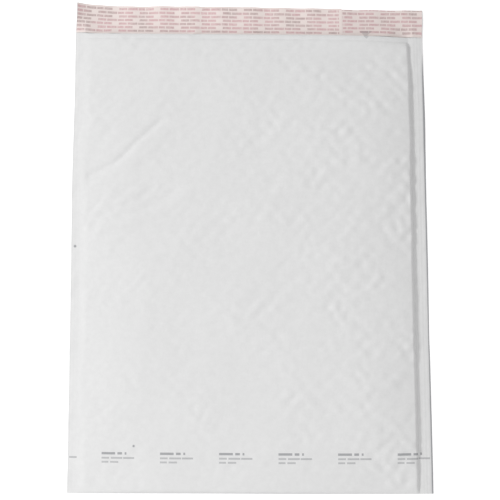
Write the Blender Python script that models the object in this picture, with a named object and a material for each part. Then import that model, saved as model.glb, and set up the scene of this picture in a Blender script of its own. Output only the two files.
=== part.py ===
"""Padded envelope, empty, lying on its back with the flap open.

A paper cover is folded at the bottom and sealed along both sides. It holds a lining of
bubble film, folded and sealed in the same way, with the pocket inside it. The back of the
cover runs on past the mouth as the flap, which carries a strip of adhesive under a
release liner.

Metres, +Z up. X runs across the envelope, Y from the bottom fold to the flap. The origin is
at the middle of the surface that the back lies on.

Every surface is a height over one shared plan of lines, cut along the same diagonals, so
sheets that lie on each other keep their clearance wherever they bend.
"""

import math

import bmesh
import bpy
import numpy as np

MM = 0.001

# Size in plan
WIDTH = 360 * MM
LENGTH = 500 * MM
FLAP_DEPTH = 34 * MM
FLAP_OUT_OF_SQUARE = 12 * MM
MOUTH_OUT_OF_SQUARE = 10 * MM

# Thicknesses, from the back to the front
PAPER = 0.3 * MM
FILM = 3.5 * MM
POCKET = 5.0 * MM
CLEARANCE = 0.3 * MM

# Side seams and bottom fold
SEAM_WIDTH = 10 * MM
SEAM_THICKNESS = 0.8 * MM
SEAM_HEIGHT = 5.5 * MM
SEAM_DROOP = 1.1 * MM
SEAM_SLOPE = 8 * MM
PAPER_WELD = 1.5 * MM
FILM_WELD = 2.2 * MM
FOLD_SLOPE = 16 * MM
FOLD_WALL = 0.8 * MM

# Mouth: the padding is pressed thin along the cut
LIP_ROUNDING = 7 * MM
LIP_FILM = 1.2 * MM
LINING_SETBACK = 1.0 * MM

# Flap: it settles from the seams' height, and its left end curls up
FLAP_END_LIFT = 2.4 * MM
CURL_HEIGHT = 12 * MM
CURL_REACH = 30 * MM
CURL_TURN = math.radians(20)

# Adhesive and release liner, measured from the flap's cut edge
LINER_DEPTH = 27.5 * MM
LINER_THICKNESS = 0.25 * MM
ADHESIVE_DEPTH = 20 * MM
ADHESIVE_THICKNESS = 0.3 * MM
ADHESIVE_FROM_CUT = 4 * MM
ADHESIVE_INSET = 5 * MM

# Spacing of the plan's lines
COARSE_STEP = 19 * MM
CREASE_STEP_X = 9 * MM
CREASE_STEP_Y = 7 * MM

# The padding's gentle waves: height, and length of a wave along X and along Y
WAVE_HEIGHT = 0.35 * MM
WAVE_LENGTH_X = 118 * MM
WAVE_LENGTH_Y = 146 * MM

# Creases pressed into the front: the ends as distances from the left edge and below the
# mouth, then the depth and the half-width. A negative depth is a ridge.
CREASED_WIDTH = 100 * MM
CREASES_START = 84 * MM
CREASES_END = 160 * MM
CREASES = [
    ((18 * MM, 144 * MM), (44 * MM, 131 * MM), 1.1 * MM, 5 * MM),
    ((44 * MM, 131 * MM), (64 * MM, 111 * MM), 1.1 * MM, 5 * MM),
    ((64 * MM, 111 * MM), (98 * MM, 84 * MM), 0.8 * MM, 6 * MM),
    ((26 * MM, 150 * MM), (98 * MM, 96 * MM), -0.5 * MM, 7 * MM),
    ((20 * MM, 126 * MM), (58 * MM, 96 * MM), -0.4 * MM, 7 * MM),
    ((240 * MM, 124 * MM), (304 * MM, 196 * MM), 0.5 * MM, 14 * MM),
    ((180 * MM, 196 * MM), (232 * MM, 150 * MM), 0.5 * MM, 14 * MM),
    ((286 * MM, 402 * MM), (340 * MM, 366 * MM), 0.5 * MM, 14 * MM),
]

PAPER_COLOUR = (0.80, 0.81, 0.82, 1.0)
FILM_COLOUR = (0.72, 0.76, 0.78, 1.0)
ADHESIVE_COLOUR = (0.70, 0.68, 0.60, 1.0)
LINER_COLOUR = (0.80, 0.62, 0.60, 1.0)

# Worked out from the sizes above
HALF_WIDTH = WIDTH / 2
FOLD_Y = -LENGTH / 2
CUT_Y = LENGTH / 2 - FLAP_OUT_OF_SQUARE / 2
MOUTH_Y = CUT_Y - FLAP_DEPTH
BODY_THICKNESS = 2 * (PAPER + CLEARANCE + FILM) + POCKET
PADDING = BODY_THICKNESS - 2 * (PAPER + CLEARANCE)
SEAM_EDGE = HALF_WIDTH - SEAM_WIDTH
COVER_EDGE = SEAM_EDGE - PAPER_WELD
LINING_EDGE = COVER_EDGE - CLEARANCE
POCKET_EDGE = LINING_EDGE - FILM_WELD
SLOPE_EDGE = SEAM_EDGE - SEAM_SLOPE
COVER_START = FOLD_Y + FOLD_WALL
LINING_START = COVER_START + CLEARANCE
POCKET_START = LINING_START + FILM_WELD


def spread(start, end, step):
    """Even lines from start to end, both included, about a step apart."""
    count = max(1, round((end - start) / step))
    return np.linspace(start, end, count + 1)


def column_lines():
    """The plan's lines across X: close together on the seams, the slopes and the creases."""
    side = [HALF_WIDTH, HALF_WIDTH - SEAM_WIDTH / 2, SEAM_EDGE, COVER_EDGE, LINING_EDGE, POCKET_EDGE]
    side += [(POCKET_EDGE + SLOPE_EDGE) / 2, SLOPE_EDGE]
    creased = spread(-SLOPE_EDGE, CREASED_WIDTH - HALF_WIDTH, CREASE_STEP_X)
    plain = spread(CREASED_WIDTH - HALF_WIDTH, SLOPE_EDGE, COARSE_STEP)
    left = -np.array(side[:-1])
    right = np.array(side[:-1][::-1])
    return np.concatenate([left, creased, plain[1:], right])


def row_lines():
    """The plan's lines across Y, at the middle of the envelope, from the fold to the cut edge."""
    nose = [FOLD_Y, FOLD_Y + FOLD_WALL / 4, COVER_START, LINING_START, (LINING_START + POCKET_START) / 2, POCKET_START]
    slope_end = FOLD_Y + FOLD_SLOPE
    rise = spread(POCKET_START, slope_end, FOLD_SLOPE / 3)[1:]
    lip_start = MOUTH_Y - LIP_ROUNDING
    below = spread(slope_end, MOUTH_Y - CREASES_END, COARSE_STEP)[1:]
    creased = spread(MOUTH_Y - CREASES_END, MOUTH_Y - CREASES_START, CREASE_STEP_Y)[1:]
    above = spread(MOUTH_Y - CREASES_START, lip_start, COARSE_STEP)[1:]
    lip = [(lip_start + MOUTH_Y - LINING_SETBACK) / 2, MOUTH_Y - LINING_SETBACK, MOUTH_Y]
    adhesive_end = CUT_Y - ADHESIVE_FROM_CUT
    adhesive_start = adhesive_end - ADHESIVE_DEPTH
    liner_start = CUT_Y - LINER_DEPTH
    flap = [(MOUTH_Y + liner_start) / 2, liner_start, adhesive_start]
    flap += [adhesive_start + ADHESIVE_DEPTH / 3, adhesive_end - ADHESIVE_DEPTH / 3, adhesive_end, CUT_Y]
    return np.concatenate([nose, rise, below, creased, above, lip, flap])


X = column_lines()
ROW_Y = row_lines()
ROW_SLANT = np.interp(ROW_Y, [FOLD_Y, MOUTH_Y, CUT_Y], [0.0, MOUTH_OUT_OF_SQUARE, FLAP_OUT_OF_SQUARE])
PLAN_X = np.repeat(X[:, None], len(ROW_Y), axis=1)
PLAN_Y = ROW_Y[None, :] - ROW_SLANT[None, :] * X[:, None] / WIDTH


def column(x):
    """Number of the line that stands at x."""
    return int(np.argmin(np.abs(X - x)))


def row(y):
    """Number of the line that crosses the middle of the envelope at y."""
    return int(np.argmin(np.abs(ROW_Y - y)))


def smooth(t):
    """Eases from 0 to 1 as t goes from 0 to 1."""
    t = np.clip(t, 0, 1)
    return t * t * (3 - 2 * t)


def quarter_round(t):
    """Rises from 0 to 1 along a quarter of an ellipse."""
    t = np.clip(t, 0, 1)
    return np.sqrt(1 - (1 - t) ** 2)


def distance_to(start, end):
    """Distance of each point of the plan from a crease, given from the left edge and below the mouth."""
    ax, ay = start[0] - HALF_WIDTH, MOUTH_Y - start[1]
    bx, by = end[0] - HALF_WIDTH, MOUTH_Y - end[1]
    along = ((PLAN_X - ax) * (bx - ax) + (PLAN_Y - ay) * (by - ay)) / ((bx - ax) ** 2 + (by - ay) ** 2)
    along = np.clip(along, 0, 1)
    return np.hypot(PLAN_X - ax - along * (bx - ax), PLAN_Y - ay - along * (by - ay))


def front_relief():
    """How far the front stands above or below its plain height: slow waves and the creases."""
    across = np.sin(2 * np.pi * (PLAN_X / WAVE_LENGTH_X + 0.3 * PLAN_Y / WAVE_LENGTH_Y))
    along = np.sin(2 * np.pi * (PLAN_Y / WAVE_LENGTH_Y - 0.4 * PLAN_X / WAVE_LENGTH_X) + 1.0)
    relief = WAVE_HEIGHT * across * along
    for start, end, depth, half_width in CREASES:
        relief = relief - depth * np.exp(-(distance_to(start, end) / half_width) ** 2)
    return relief


def layer_heights():
    """Heights of the eight surfaces of the body, from the back's underside to the front's top."""
    across = np.abs(PLAN_X)
    fullness = np.sin(np.clip((SEAM_EDGE - across) / SEAM_SLOPE, 0, 1) * np.pi / 2)
    fullness = fullness * quarter_round((ROW_Y - FOLD_Y) / FOLD_SLOPE)[None, :]
    fullness[fullness > 1 - 1e-9] = 1
    droop = np.clip((across - SEAM_EDGE) / SEAM_WIDTH, 0, 1) ** 1.5
    seam = SEAM_HEIGHT - SEAM_DROOP * droop - SEAM_THICKNESS / 2
    thickness = SEAM_THICKNESS + (BODY_THICKNESS - SEAM_THICKNESS) * fullness
    share = np.clip((thickness - 2 * (PAPER + CLEARANCE)) / PADDING, 0, 1)
    pressed = (FILM - LIP_FILM) * (1 - quarter_round((MOUTH_Y - ROW_Y) / LIP_ROUNDING))[None, :]
    relief = front_relief() * smooth(fullness) * smooth((MOUTH_Y - ROW_Y) / LIP_ROUNDING)[None, :]

    back = seam * (1 - fullness)
    back_inside = back + PAPER
    film_back = back_inside + CLEARANCE
    pocket_floor = film_back + FILM * share
    pocket_roof = pocket_floor + POCKET * share
    film_front = pocket_roof + (FILM - pressed) * share + relief
    front = back + thickness - pressed * share + relief
    front_inside = front - PAPER
    return back, back_inside, film_back, pocket_floor, pocket_roof, film_front, front_inside, front


def flap_height(back):
    """Height of the flap's underside: it settles from the back's height at the mouth to nearly
    flat, stays lifted at its ends, and curls up at its left end about a line turned by CURL_TURN."""
    mouth = row(MOUTH_Y)
    settled = smooth((ROW_Y - MOUTH_Y) / (0.8 * FLAP_DEPTH))[None, :]
    lifted = FLAP_END_LIFT * (np.abs(PLAN_X) / HALF_WIDTH) ** 8
    height = back[:, mouth:mouth + 1] * (1 - settled) + lifted * settled
    from_corner = (PLAN_X + HALF_WIDTH) * math.cos(CURL_TURN)
    from_corner = from_corner + (PLAN_Y[:1, -1:] - PLAN_Y) * math.sin(CURL_TURN)
    curl = CURL_HEIGHT * np.clip(1 - from_corner / CURL_REACH, 0, 1) ** 2
    return np.where(ROW_Y[None, :] > MOUTH_Y, height + curl * settled, back)


def layer(bm, height, columns, rows):
    """Adds the points of one surface and returns them by their line numbers."""
    return {(i, j): bm.verts.new((PLAN_X[i, j], PLAN_Y[i, j], height[i, j])) for i in columns for j in rows}


def fill(bm, points, columns, rows):
    """Covers a surface with triangles, every cell cut along the same diagonal."""
    for i in columns[:-1]:
        for j in rows[:-1]:
            corner = points[i + 1, j + 1]
            bm.faces.new((points[i, j], points[i + 1, j], corner))
            bm.faces.new((points[i, j], corner, points[i, j + 1]))


def wall(bm, lower, upper, path, between=()):
    """Closes the edge from one surface up to another along a path of line numbers, taking in
    the points of the surfaces between them."""
    for a, b in zip(path, path[1:]):
        up = [points[b] for points in between if b in points]
        down = [points[a] for points in reversed(between) if a in points]
        bm.faces.new([lower[a], lower[b], *up, upper[b], upper[a], *down])


def along_row(j, columns):
    return [(i, j) for i in columns]


def along_column(i, rows):
    return [(i, j) for j in rows]


def finish(name, bm, colour, roughness):
    """Turns the faces outwards, makes the named object and gives it its material."""
    bmesh.ops.recalc_face_normals(bm, faces=bm.faces)
    mesh = bpy.data.meshes.new(name)
    bm.to_mesh(mesh)
    bm.free()
    material = bpy.data.materials.new(name + "_finish")
    material.use_nodes = True
    shader = material.node_tree.nodes["Principled BSDF"]
    shader.inputs["Base Color"].default_value = colour
    shader.inputs["Roughness"].default_value = roughness
    shader.inputs["Metallic"].default_value = 0.0
    mesh.materials.append(material)
    mesh.shade_smooth()
    mesh.set_sharp_from_angle(angle=math.radians(35))
    piece = bpy.data.objects.new(name, mesh)
    bpy.context.scene.collection.objects.link(piece)
    return piece


def pouch(bm, outer, inner, mouth, edges, start):
    """Builds a pouch open at its mouth line: outer and inner are pairs of heights, edges are
    the outer and inner distances from the middle, start the outer and inner first lines."""
    columns = range(column(-edges[0]), column(edges[0]) + 1)
    inside = range(column(-edges[1]), column(edges[1]) + 1)
    rows = range(start[0], mouth + 1)
    inside_rows = range(start[1], mouth + 1)
    low = layer(bm, outer[0], columns, rows)
    high = layer(bm, outer[1], columns, rows)
    floor = layer(bm, inner[0], inside, inside_rows)
    roof = layer(bm, inner[1], inside, inside_rows)
    for points, across, along in ((low, columns, rows), (high, columns, rows),
                                  (floor, inside, inside_rows), (roof, inside, inside_rows)):
        fill(bm, points, across, along)
    wall(bm, low, high, along_row(rows[0], columns))
    wall(bm, floor, roof, along_row(inside_rows[0], inside))
    for side in (inside[0], inside[-1]):
        wall(bm, floor, roof, along_column(side, inside_rows))
    return columns, inside, rows, low, high, floor, roof


def paper_cover(layers, flap):
    """The folded paper: front, bottom fold, back and flap in one piece."""
    back, back_inside, front_inside, front = layers[0], layers[1], layers[6], layers[7]
    mouth = row(MOUTH_Y)
    bm = bmesh.new()
    columns, inside, rows, low, high, floor, roof = pouch(
        bm, (back, front), (back_inside, front_inside), mouth,
        (HALF_WIDTH, COVER_EDGE), (row(FOLD_Y), row(COVER_START)))
    beyond = range(mouth + 1, len(ROW_Y))
    flap_rows = range(mouth, len(ROW_Y))
    flap_low = layer(bm, flap, columns, beyond)
    flap_high = layer(bm, flap + PAPER, columns, beyond)
    flap_low.update({(i, mouth): low[i, mouth] for i in columns})
    flap_high.update({(i, mouth): floor[i, mouth] for i in inside})
    sealed = [range(columns[0], inside[0] + 1), range(inside[-1], columns[-1] + 1)]
    for part in sealed:
        bare = [i for i in part if i not in inside]
        flap_high.update(layer(bm, flap + PAPER, bare, [mouth]))
    fill(bm, flap_low, columns, flap_rows)
    fill(bm, flap_high, columns, flap_rows)
    for side in (columns[0], columns[-1]):
        wall(bm, low, high, along_column(side, rows), [flap_high])
        wall(bm, flap_low, flap_high, along_column(side, flap_rows))
    wall(bm, flap_low, flap_high, along_row(flap_rows[-1], columns))
    wall(bm, roof, high, along_row(mouth, inside))
    for part in sealed:
        wall(bm, flap_high, high, along_row(mouth, part), [roof])
    return finish("paper_shell", bm, PAPER_COLOUR, 0.75)


def film_lining(layers):
    """The bubble film, folded at the bottom and sealed at the sides, as a slab of its full height."""
    film_back, pocket_floor, pocket_roof, film_front = layers[2], layers[3], layers[4], layers[5]
    mouth = row(MOUTH_Y - LINING_SETBACK)
    bm = bmesh.new()
    columns, inside, rows, low, high, floor, roof = pouch(
        bm, (film_back, film_front), (pocket_floor, pocket_roof), mouth,
        (LINING_EDGE, POCKET_EDGE), (row(LINING_START), row(POCKET_START)))
    for side in (columns[0], columns[-1]):
        wall(bm, low, high, along_column(side, rows))
    wall(bm, low, floor, along_row(mouth, inside))
    wall(bm, roof, high, along_row(mouth, inside))
    wall(bm, low, high, along_row(mouth, range(columns[0], inside[0] + 1)), [floor, roof])
    wall(bm, low, high, along_row(mouth, range(inside[-1], columns[-1] + 1)), [floor, roof])
    return finish("bubble_lining", bm, FILM_COLOUR, 0.35)


def ribbon(name, underside, thickness, edge, first_row, last_row, colour, roughness):
    """A flat strip that lies along the flap and follows its bends."""
    columns = range(column(-edge), column(edge) + 1)
    rows = range(first_row, last_row + 1)
    bm = bmesh.new()
    low = layer(bm, underside, columns, rows)
    high = layer(bm, underside + thickness, columns, rows)
    fill(bm, low, columns, rows)
    fill(bm, high, columns, rows)
    for end in (rows[0], rows[-1]):
        wall(bm, low, high, along_row(end, columns))
    for side in (columns[0], columns[-1]):
        wall(bm, low, high, along_column(side, rows))
    return finish(name, bm, colour, roughness)


def main():
    for old in list(bpy.data.objects):
        bpy.data.objects.remove(old, do_unlink=True)
    layers = layer_heights()
    flap = flap_height(layers[0])
    paper_cover(layers, flap)
    film_lining(layers)
    glue = flap + PAPER + CLEARANCE
    ribbon("adhesive_strip", glue, ADHESIVE_THICKNESS, HALF_WIDTH - ADHESIVE_INSET,
           row(CUT_Y - ADHESIVE_FROM_CUT - ADHESIVE_DEPTH), row(CUT_Y - ADHESIVE_FROM_CUT),
           ADHESIVE_COLOUR, 0.3)
    ribbon("release_liner", glue + ADHESIVE_THICKNESS + CLEARANCE, LINER_THICKNESS, HALF_WIDTH,
           row(CUT_Y - LINER_DEPTH), row(CUT_Y), LINER_COLOUR, 0.4)


main()
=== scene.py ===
"""Padded mailing envelope, empty, lying on its back with the flap open.

Laid out as an add-on: one operator for each piece, one for the studio, and a panel that
lists them. Every piece is a sheet worked out over one plan, X across the envelope and Y
from the bottom fold to the flap, in metres, +Z up. The rows of that plan slant with the cut
edges, and row_y is the Y at which a row crosses the middle.
"""

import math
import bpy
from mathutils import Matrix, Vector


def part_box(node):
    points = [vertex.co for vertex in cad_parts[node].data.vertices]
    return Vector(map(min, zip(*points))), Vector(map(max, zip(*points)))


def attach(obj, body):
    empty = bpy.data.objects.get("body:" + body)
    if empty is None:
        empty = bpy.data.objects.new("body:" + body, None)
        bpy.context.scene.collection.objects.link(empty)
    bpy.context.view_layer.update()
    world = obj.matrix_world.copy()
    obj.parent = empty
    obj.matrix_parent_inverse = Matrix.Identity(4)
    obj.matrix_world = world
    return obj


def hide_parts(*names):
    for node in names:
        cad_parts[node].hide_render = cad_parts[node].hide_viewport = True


bl_info = {
    "name": "Padded Envelope",
    "version": (1, 0, 0),
    "blender": (4, 5, 0),
    "location": "View3D > Sidebar > Envelope",
    "description": "Builds a paper mailer lined with bubble film, its release liner and a plain studio",
    "category": "Object",
}

import bpy
import numpy as np
from bpy.props import FloatProperty, FloatVectorProperty, PointerProperty
from bpy.types import Operator, Panel, PropertyGroup
from mathutils import Euler

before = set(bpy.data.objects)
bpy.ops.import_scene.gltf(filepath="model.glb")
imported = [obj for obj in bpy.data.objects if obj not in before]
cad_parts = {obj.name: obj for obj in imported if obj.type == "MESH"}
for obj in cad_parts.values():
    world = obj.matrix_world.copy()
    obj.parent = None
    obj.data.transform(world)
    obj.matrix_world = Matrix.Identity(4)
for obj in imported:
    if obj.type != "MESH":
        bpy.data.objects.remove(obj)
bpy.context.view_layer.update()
COVER_LOW, COVER_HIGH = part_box("paper_shell")

MM = 0.001
UV_NAME = "OFBake"
# Limits of a sheet's UV map: each face is half as wide as the map
UV_LOW, UV_MIDDLE, UV_HIGH = 0.01, 0.49, 0.99
# A bend sharper than this is shaded as an edge
SHARP_ANGLE = math.radians(50)
# Thickness of the film between its bubbles
FILM_WEB = 0.12 * MM
# Inputs of Map Range for the values between which most of a noise lies
NOISE = {1: 0.3, 2: 0.7}

# Creases pressed into the front, as paths over the plan: points, depth and half-width, all in
# millimetres. A negative depth is a ridge.
CREASES = [
    ([(-165, 66), (-152, 72), (-136, 79), (-124, 89), (-116, 99), (-101, 112), (-84, 125)], 1.0, 2.4),
    ([(-128, 86), (-117, 96), (-104, 109), (-90, 121)], 0.3, 2.0),
    ([(-162, 66), (-150, 72), (-138, 77), (-126, 86)], 0.45, 2.6),
    ([(-156, 60), (-128, 71), (-108, 88), (-84, 108)], -0.35, 6.0),
    ([(-168, 20), (-158, 33), (-149, 42)], 0.55, 2.8),
    ([(-167, 18), (-146, 28), (-122, 38), (-96, 52)], 0.6, 3.2),
    ([(-158, 16), (-134, 22), (-104, 32), (-74, 50)], 0.55, 3.0),
    ([(-140, 40), (-118, 54), (-98, 70)], 0.3, 3.4),
    ([(-150, 10), (-126, 18), (-90, 30), (-60, 46)], -0.45, 5.0),
    ([(-150, 138), (-134, 152)], 0.25, 3.0),
    ([(8, 44), (22, 54), (34, 62)], 0.3, 4.0),
    ([(98, 68), (110, 58), (126, 44)], 0.35, 3.0),
    ([(78, -72), (86, -62), (96, -52)], 0.45, 2.6),
    ([(98, -160), (120, -150), (152, -136)], -0.4, 4.0),
    ([(96, -168), (118, -160), (152, -148)], 0.35, 5.0),
    ([(-70, -134), (-52, -140), (-36, -142)], 0.25, 4.0),
    ([(118, 178), (140, 162), (156, 142)], 0.3, 2.6),
    ([(128, 184), (148, 168), (161, 150)], 0.3, 2.4),
    ([(104, 168), (126, 152), (146, 128)], 0.25, 2.8),
    ([(138, 40), (150, 34), (162, 30)], 0.35, 3.0),
    ([(134, 8), (146, -4), (160, -16)], 0.35, 3.0),
    ([(14, 122), (15, 100), (16, 82)], 0.2, 4.0),
]

# Bulges of the right edge: place along it, half-width and how far out, in millimetres
BULGES = [(-90, 40, -0.4), (122, 42, 0.7)]

# Buckles of the lip: place and height in millimetres
BUCKLES = [(-60, 210.3, 0.9), (54, 208.4, 0.6), (-128, 211.4, 0.4)]

# Print near the fold: for each line its distance below the first, its height, its words as
# start and end, all in millimetres, and how dark it is
PRINT_LINES = [
    (0.0, 2.3, [(0.0, 13.5), (15.8, 20.4), (23.0, 24.8)], 0.62),
    (4.4, 1.8, [(0.0, 7.6), (9.2, 20.8), (21.6, 32.6)], 0.42),
    (8.3, 1.8, [(0.0, 6.8), (8.6, 16.8)], 0.40),
]

# Its blocks, in millimetres: how far apart, where one starts, the middle of the first line and
# how steeply it falls to the right, and how far across the envelope it goes
PRINT_PERIOD, PRINT_START = 58.1, -145.2
PRINT_TOP, PRINT_SLOPE = -211.45, 0.004
PRINT_LIMITS = (-178.4, 185)

# Print on the liner, in millimetres: rows as distance and place of the first, before and beyond
# the splice, a run's dashes as start and end, how often it starts, the depth over which there
# are rows, and where the splice lies
LINER_ROWS = [(3.96, 3.35), (4.14, 0.36)]
LINER_DASHES = [(0.0, 8.6), (9.6, 19.8), (20.7, 27.4), (28.4, 36.8)]
LINER_PERIOD = 44.0
LINER_PRINTED = (-1, 28.05)
SPLICE = 277.5
# Bare paper between the liner and the cut edge, in millimetres
LINER_FROM_CUT = 0.4

# Small grey triangle at the lip, on either sheet: tip and height in millimetres, and darkness
PAPER_TRIANGLE = ((122.0, 206.2), 8.0, 0.3)
LINER_TRIANGLE = ((122.0, 209.8), 6.6, 0.32)

# Specks of dirt: place and radius in millimetres
SPECKS = [(-175.9, -5.2, 1.9), (-113.3, -203.8, 1.6)]


def length(name, description, millimetres):
    """A size in the panel, given in millimetres and kept in metres."""
    return FloatProperty(name=name, description=description, default=millimetres * MM,
                         precision=5, subtype="DISTANCE", unit="LENGTH")


def colour(name, description, code):
    """A colour in the panel, given as a hex code."""
    return FloatVectorProperty(name=name, description=description, subtype="COLOR", size=3,
                               min=0.0, max=1.0, default=linear(code))


def linear(code):
    """Turns an sRGB hex code into linear light."""
    parts = [int(code[i:i + 2], 16) / 255 for i in (0, 2, 4)]
    return tuple(p / 12.92 if p <= 0.04045 else ((p + 0.055) / 1.055) ** 2.4 for p in parts)


class EnvelopeSizes(PropertyGroup):
    """Sizes of the folded paper, its padding, its flap and the relief in the paper."""
    width: length("Width", "Across both seams", (COVER_HIGH.x - COVER_LOW.x) / MM)
    length: length("Length", "From the fold to the flap's longer corner",
                   (COVER_HIGH.y - COVER_LOW.y) / MM)
    flap_depth: length("Flap", "From the mouth to the cut edge, at the middle", 31.4)
    cut_slant: length("Cut slant", "How much lower the flap's cut edge lies on the right", 12)
    mouth_slant: length("Mouth slant", "How much lower the mouth lies on the right", 8.6)
    paper: length("Paper", "Thickness of the cover's paper", 0.3)
    film: length("Film", "Height of one layer of bubble film", 3.5)
    pocket: length("Pocket", "Clear height of the empty pocket", 4.3)
    clearance: length("Clearance", "Gap between sheets that lie on each other", 0.3)
    seam_width: length("Seam", "Width of the sealed edges", 10)
    seam_thickness: length("Seam thickness", "Both papers and the flattened film", 0.8)
    seam_left: length("Left seam", "Height of the left seam's inner edge above the table", 6.9)
    seam_right: length("Right seam", "Height of the right seam above the table", 1.9)
    seam_lift: length("Seam lift", "How much higher the left seam stands towards the mouth", 3.2)
    seam_droop: length("Seam droop", "How far a seam's outer edge hangs lower", 0.9)
    seam_extra: length("Seam extra", "How much wider the right seam is", 3.7)
    seam_slope: length("Seam slope", "Width of the steep band beside a seam, underneath", 8)
    step_width: length("Step width", "Width of the steep step beside the right seam, on top", 3.4)
    mouth_lift: length("Mouth lift", "How far the back rises towards the mouth", 4.2)
    crown_reach: length("Crown reach", "How far from a seam the front still rises", 75)
    weld: length("Weld", "How far the padding stays back from a seam", 4)
    fold_slope: length("Fold slope", "Depth of the rounded bottom edge", 5)
    lip_rounding: length("Lip rounding", "Depth over which the mouth's edge rounds down", 7)
    lip_film: length("Lip film", "Film left under the paper at the cut", 1.2)
    end_lift: length("End lift", "Height at which the flap's ends stay up", 2.4)
    curl_height: length("Curl height", "Height of the flap's curled corner", 6.8)
    curl_reach: length("Curl reach", "How far the curl reaches along the flap", 38)
    liner_depth: length("Liner", "Depth of the release liner from the cut edge", 29.8)
    adhesive_depth: length("Adhesive", "Depth of the adhesive strip", 20)
    adhesive_from_cut: length("Adhesive margin", "Bare paper between the adhesive and the cut edge", 4)
    adhesive_inset: length("Adhesive inset", "Bare paper at each end of the adhesive", 5)
    bubble_pitch: length("Bubble pitch", "Distance between neighbouring bubbles", 10.5)
    bubble_width: length("Bubble width", "Diameter of a bubble", 9.2)
    quilt_pitch: length("Quilting", "Distance between the diagonal folds that the bubbles press", 13.4)
    quilt_show: length("Quilting relief", "Height of the quilting in the paper", 0.74)
    crinkle: length("Crinkle", "Height of the fine crinkles between bubbles", 0.25)
    streaks: length("Streaks", "Height of the long faint folds that climb to the right", 0.16)
    wave: length("Wave", "Height of the slow waves of the front", 0.35)
    flap_wave: length("Flap wave", "Height of the flap's waves", 1.6)
    edge_bend: length("Edge bend", "How far the right edge is bent down", 0.4)
    striation: length("Seal lines", "Height of the lines pressed along the seams", 0.07)

    # Rows of the fold, the cut edge and the mouth, and X of the right seam's inner edge
    @property
    def fold(self):
        return -self.length / 2

    @property
    def cut(self):
        return self.length / 2 - self.cut_slant / 2

    @property
    def mouth(self):
        return self.cut - self.flap_depth

    @property
    def seam(self):
        return self.width / 2 - self.seam_width


class EnvelopeColours(PropertyGroup):
    """Colours, as they look under plain white light."""
    paper: colour("Paper", "Bleached kraft paper", "E3E3E3")
    ink: colour("Ink", "Grey print near the fold", "6E7076")
    film: colour("Film", "Clear polyethylene film", "EDF1F3")
    adhesive: colour("Adhesive", "Pressure-sensitive hot melt", "E6DFC9")
    liner: colour("Liner", "Silicone-coated liner paper", "ECDFDB")
    liner_pink: colour("Liner print", "Pink dashes on the liner", "D5AFB2")
    liner_grey: colour("Liner print, grey", "Greyer dashes on the liner", "BDA8A6")


def smooth(t):
    """Eases from 0 to 1: 3t^2 - 2t^3."""
    t = np.clip(t, 0, 1)
    return t * t * (3 - 2 * t)


def near(distance, reach):
    """1 at a line, easing to 0 at a reach from it."""
    return smooth(1 - distance / reach)


def bell(distance, half_width):
    """1 at a place, falling off on both sides: e^-(distance / half-width)^2."""
    return np.exp(-(distance / half_width) ** 2)


def eased(t, power):
    """Rises from 0 to 1, steepest at first: 1 - (1 - t)^power."""
    return 1 - (1 - np.clip(t, 0, 1)) ** power


def arch(t):
    """A quarter of an ellipse from 0 to 1: the root of 1 - (1 - t)^2."""
    return np.sqrt(eased(t, 2))


def ripples(x, y, shortest, longest, count, seed):
    """A smooth random field: the sum of plane waves with lengths between two limits, in all
    directions, divided by the root of half their number, so that its spread is about 1. The
    limits are in millimetres."""
    draw = np.random.default_rng(seed)
    angles = draw.uniform(0, np.pi, count)
    numbers = 2 * np.pi / draw.uniform(shortest * MM, longest * MM, count)
    phases = draw.uniform(0, 2 * np.pi, count)
    total = np.zeros(np.broadcast(x, y).shape)
    for angle, number, phase in zip(angles, numbers, phases):
        total += np.cos(number * (x * math.cos(angle) + y * math.sin(angle)) + phase)
    return total / math.sqrt(count / 2)


def crinkled(x, y, shortest, longest, seed):
    """Sharp ridges between soft hollows: 1 less the size of a smooth random field."""
    return 1 - np.abs(ripples(x, y, shortest, longest, 14, seed))


def off_path(x, y, points):
    """Distance of each place from a path of straight pieces."""
    nearest = np.full(np.broadcast(x, y).shape, np.inf)
    for (ax, ay), (bx, by) in zip(points, points[1:]):
        dx, dy = bx - ax, by - ay
        t = np.clip(((x - ax) * dx + (y - ay) * dy) / (dx * dx + dy * dy), 0, 1)
        nearest = np.minimum(nearest, np.hypot(x - ax - t * dx, y - ay - t * dy))
    return nearest


def quilting(x, y, pitch, rising_share, falling_share):
    """Cushions between diagonal folds, about 0 to 1: two cosines that cross nearly at right
    angles, one climbing to the right and one falling, summed with their shares."""
    number = 2 * np.pi / pitch
    up, down = math.radians(44), math.radians(43)
    rising = np.cos(number * (x * math.cos(up) + y * math.sin(up)))
    falling = np.cos(number * (x * math.cos(down) - y * math.sin(down)))
    return np.maximum((rising_share * rising + falling_share * falling + 2) / 4, 0) ** 0.8


def spread(start, end, step):
    """Even places from start to end, about a step apart."""
    return np.linspace(start, end, max(1, round(abs(end - start) / step)) + 1)


def columns(s, step):
    """Places across the envelope, a step apart in the middle. They are closer together at both
    edges and on the left seam, and closest on the right seam and its step."""
    half = s.width / 2
    edge = half - np.array([0, 0.5, 1, 1.5, 2.3]) * MM
    inner = half - 3.4 * MM
    left_seam = spread(-inner, -s.seam, 1.1 * MM)
    beside_it = spread(-s.seam, s.seam_slope - s.seam, 2 * MM)[1:]
    step_end = s.seam - s.seam_extra - s.step_width - 1 * MM
    left = np.concatenate([-edge, left_seam, beside_it])
    right = np.concatenate([edge, spread(inner, step_end, 0.8 * MM)])
    return np.concatenate([left, spread(left[-1], right[-1], step)[1:-1], right[::-1]])


def place_rows(s, x, row_y):
    """Y of each place: rows slant with the cut edges, more and more towards the flap."""
    past_lip = s.mouth + 3 * MM
    on_flap = s.mouth_slant + 0.45 * (s.cut_slant - s.mouth_slant)
    slants = [0, s.mouth_slant, on_flap, s.cut_slant]
    slant = np.interp(row_y, [s.fold, s.mouth, past_lip, s.cut], slants)
    return row_y - slant * x / s.width


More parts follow.
